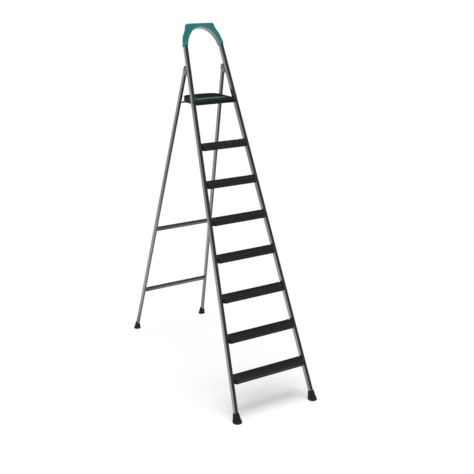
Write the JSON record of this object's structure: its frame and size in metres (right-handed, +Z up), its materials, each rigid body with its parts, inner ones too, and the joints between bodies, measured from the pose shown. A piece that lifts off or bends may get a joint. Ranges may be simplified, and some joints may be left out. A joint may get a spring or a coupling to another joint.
{
  "type": "folding stepladder",
  "caption": "Free-standing folding stepladder with grey tube frames, black treads, a tip-up platform and a teal hand grip over the top hoop; the rear legs fold forward.",
  "frame": {"origin": "on the floor, in the middle of the ladder's footprint", "axes": "+X to the ladder's right as seen from the front, +Y to the back, +Z up"},
  "size_m": [0.5982, 1.554, 2.2255],
  "materials": {
    "frame_paint": "satin grey",
    "bar_paint": "satin grey",
    "bracket_paint": "satin light grey",
    "rivet_steel": "zinc plated",
    "tread_plastic": "black, fine grain",
    "platform_plastic": "black, fine grain",
    "mat_plastic": "dark teal, ribbed",
    "grip_plastic": "teal, fine grain",
    "cap_plastic": "black",
    "bush_plastic": "natural nylon",
    "foot_rubber": "black, matt"
  },
  "bodies": {
    "front_frame": {"left_stile": "frame_paint", "right_stile": "frame_paint", "left_tread_caps": "tread_plastic", "right_tread_caps": "tread_plastic", "left_hinge_bracket": "bracket_paint", "right_hinge_bracket": "bracket_paint", "left_hinge_pin": "rivet_steel", "right_hinge_pin": "rivet_steel", "left_platform_pin": "rivet_steel", "right_platform_pin": "rivet_steel", "left_front_shoe": "foot_rubber", "right_front_shoe": "foot_rubber", "hoop": "frame_paint", "hand_grip": "grip_plastic", "bracket_rivets": "rivet_steel", "tread_1": "tread_plastic", "tread_2": "tread_plastic", "tread_3": "tread_plastic", "tread_4": "tread_plastic", "tread_5": "tread_plastic", "tread_6": "tread_plastic", "tread_7": "tread_plastic", "tread_bar_1": "bar_paint", "tread_bar_2": "bar_paint", "tread_bar_3": "bar_paint", "tread_bar_4": "bar_paint", "tread_bar_5": "bar_paint", "tread_bar_6": "bar_paint", "tread_bar_7": "bar_paint"},
    "rear_frame": {"left_rear_leg": "frame_paint", "right_rear_leg": "frame_paint", "left_leg_cap": "cap_plastic", "right_leg_cap": "cap_plastic", "left_hinge_bush": "bush_plastic", "right_hinge_bush": "bush_plastic", "left_rear_foot": "foot_rubber", "right_rear_foot": "foot_rubber", "upper_brace": "frame_paint", "lower_brace": "frame_paint", "platform_rest_rod": "frame_paint"},
    "platform": {"platform": "platform_plastic", "platform_mat": "mat_plastic"}
  },
  "joints": [
    {"name": "rear_fold", "type": "hinge", "parent": "front_frame", "child": "rear_frame", "pos_m": [0, 0.13398, 1.95405], "axis": [-1, 0, 0], "range_deg": [0, 39]},
    {"name": "platform_tilt", "type": "hinge", "parent": "front_frame", "child": "platform", "pos_m": [0, 0.00568, 1.7705], "axis": [1, 0, 0], "range_deg": [0, 69]}
  ],
  "couplings": [
    {"joint": "platform_tilt", "follows": "rear_fold", "ratio": 1.7692}
  ]
}
